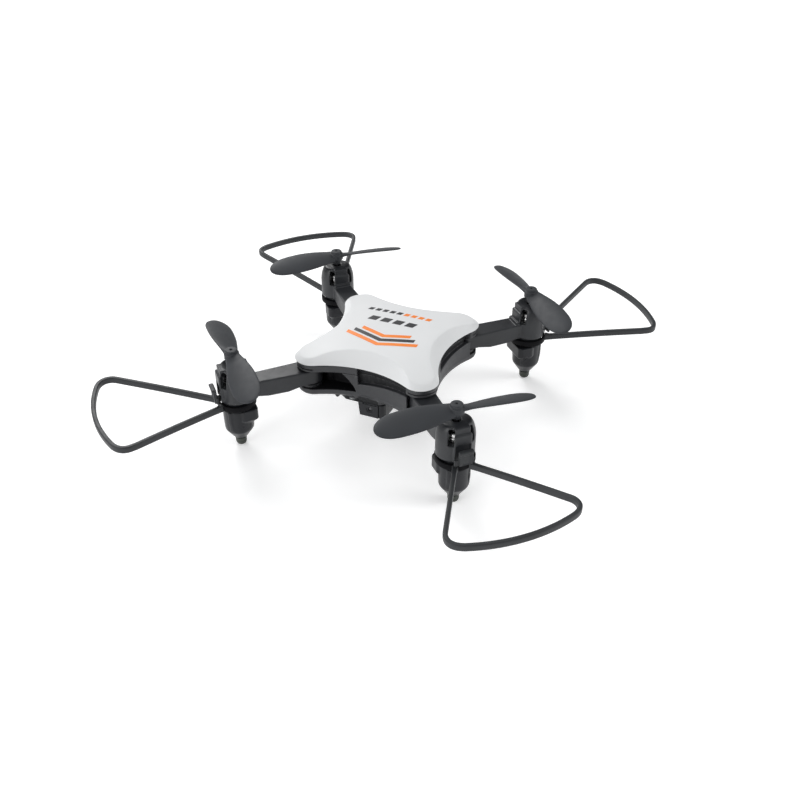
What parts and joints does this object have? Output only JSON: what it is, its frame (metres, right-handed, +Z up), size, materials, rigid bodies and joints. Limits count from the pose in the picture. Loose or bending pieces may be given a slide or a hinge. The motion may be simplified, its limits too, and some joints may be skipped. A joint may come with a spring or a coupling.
{
  "type": "folding palm drone",
  "caption": "Folding palm-size drone with a domed lobed body, hinged arms, motor pods on peg feet, pitched propellers, loop guards and a camera under the front edge.",
  "frame": {"origin": "middle of the footprint, on the surface that the feet stand on", "axes": "+Z up along the rotor axes, -Y towards the front where the camera looks, +X to the right seen from behind the drone looking towards +Y"},
  "size_m": [0.1398, 0.1398, 0.032],
  "materials": {
    "shell_white": "satin white",
    "body_charcoal": "satin charcoal",
    "guard_charcoal": "satin charcoal",
    "blade_charcoal": "satin charcoal",
    "motor_steel": "bright",
    "pin_steel": "bright",
    "foot_rubber": "matte",
    "cell_wrap": "satin film",
    "board_green": "satin",
    "lens_glass": "polished dark",
    "light_clear": "clear",
    "button_grey": "satin"
  },
  "bodies": {
    "body": {"top_cover": "shell_white", "upper_frame": "body_charcoal", "lower_shell": "body_charcoal", "battery_cover": "body_charcoal", "battery": "cell_wrap", "main_board": "board_green", "camera_housing": "body_charcoal", "camera_lens": "lens_glass", "camera_board": "board_green", "status_light": "light_clear", "body_screw_front_left": "pin_steel", "body_screw_front_right": "pin_steel", "body_screw_back_right": "pin_steel", "body_screw_back_left": "pin_steel", "arm_pin_front_left": "pin_steel", "arm_pin_front_right": "pin_steel", "arm_pin_back_right": "pin_steel", "arm_pin_back_left": "pin_steel"},
    "button": {"power_button": "button_grey"},
    "arm_front_left": {"arm_front_left": "body_charcoal", "pod_cap_front_left": "body_charcoal", "foot_front_left": "foot_rubber", "motor_front_left": "motor_steel"},
    "guard_front_left": {"guard_front_left": "guard_charcoal"},
    "rotor_front_left": {"propeller_front_left": "blade_charcoal", "motor_shaft_front_left": "pin_steel"},
    "arm_front_right": {"arm_front_right": "body_charcoal", "pod_cap_front_right": "body_charcoal", "foot_front_right": "foot_rubber", "motor_front_right": "motor_steel"},
    "guard_front_right": {"guard_front_right": "guard_charcoal"},
    "rotor_front_right": {"propeller_front_right": "blade_charcoal", "motor_shaft_front_right": "pin_steel"},
    "arm_back_right": {"arm_back_right": "body_charcoal", "pod_cap_back_right": "body_charcoal", "foot_back_right": "foot_rubber", "motor_back_right": "motor_steel"},
    "guard_back_right": {"guard_back_right": "guard_charcoal"},
    "rotor_back_right": {"propeller_back_right": "blade_charcoal", "motor_shaft_back_right": "pin_steel"},
    "arm_back_left": {"arm_back_left": "body_charcoal", "pod_cap_back_left": "body_charcoal", "foot_back_left": "foot_rubber", "motor_back_left": "motor_steel"},
    "guard_back_left": {"guard_back_left": "guard_charcoal"},
    "rotor_back_left": {"propeller_back_left": "blade_charcoal", "motor_shaft_back_left": "pin_steel"}
  },
  "joints": [
    {"name": "button_press", "type": "slide", "parent": "body", "child": "button", "axis": [0, 0, 1], "range_m": [0, 0.0006], "stiffness_N_per_m": 250},
    {"name": "arm_fold_front_left", "type": "hinge", "parent": "body", "child": "arm_front_left", "pos_m": [-0.01732, -0.01732, 0.019], "axis": [0, 0, 1], "range_deg": [0, 115]},
    {"name": "guard_turn_front_left", "type": "hinge", "parent": "arm_front_left", "child": "guard_front_left", "pos_m": [-0.033, -0.033, 0.015], "axis": [0, 0, 1], "range_deg": [-71, 0]},
    {"name": "rotor_spin_front_left", "type": "hinge", "parent": "arm_front_left", "child": "rotor_front_left", "pos_m": [-0.033, -0.033, 0.029], "axis": [0, 0, 1], "continuous": true},
    {"name": "arm_fold_front_right", "type": "hinge", "parent": "body", "child": "arm_front_right", "pos_m": [0.01732, -0.01732, 0.019], "axis": [0, 0, 1], "range_deg": [0, 115]},
    {"name": "guard_turn_front_right", "type": "hinge", "parent": "arm_front_right", "child": "guard_front_right", "pos_m": [0.033, -0.033, 0.015], "axis": [0, 0, 1], "range_deg": [-71, 0]},
    {"name": "rotor_spin_front_right", "type": "hinge", "parent": "arm_front_right", "child": "rotor_front_right", "pos_m": [0.033, -0.033, 0.029], "axis": [0, 0, 1], "continuous": true},
    {"name": "arm_fold_back_right", "type": "hinge", "parent": "body", "child": "arm_back_right", "pos_m": [0.01732, 0.01732, 0.019], "axis": [0, 0, 1], "range_deg": [0, 115]},
    {"name": "guard_turn_back_right", "type": "hinge", "parent": "arm_back_right", "child": "guard_back_right", "pos_m": [0.033, 0.033, 0.015], "axis": [0, 0, 1], "range_deg": [-71, 0]},
    {"name": "rotor_spin_back_right", "type": "hinge", "parent": "arm_back_right", "child": "rotor_back_right", "pos_m": [0.033, 0.033, 0.029], "axis": [0, 0, 1], "continuous": true},
    {"name": "arm_fold_back_left", "type": "hinge", "parent": "body", "child": "arm_back_left", "pos_m": [-0.01732, 0.01732, 0.019], "axis": [0, 0, 1], "range_deg": [0, 115]},
    {"name": "guard_turn_back_left", "type": "hinge", "parent": "arm_back_left", "child": "guard_back_left", "pos_m": [-0.033, 0.033, 0.015], "axis": [0, 0, 1], "range_deg": [-71, 0]},
    {"name": "rotor_spin_back_left", "type": "hinge", "parent": "arm_back_left", "child": "rotor_back_left", "pos_m": [-0.033, 0.033, 0.029], "axis": [0, 0, 1], "continuous": true}
  ],
  "couplings": [
    {"joint": "guard_turn_front_left", "follows": "arm_fold_front_left", "ratio": -0.61},
    {"joint": "guard_turn_front_right", "follows": "arm_fold_front_right", "ratio": -0.61},
    {"joint": "guard_turn_back_right", "follows": "arm_fold_back_right", "ratio": -0.61},
    {"joint": "guard_turn_back_left", "follows": "arm_fold_back_left", "ratio": -0.61}
  ]
}
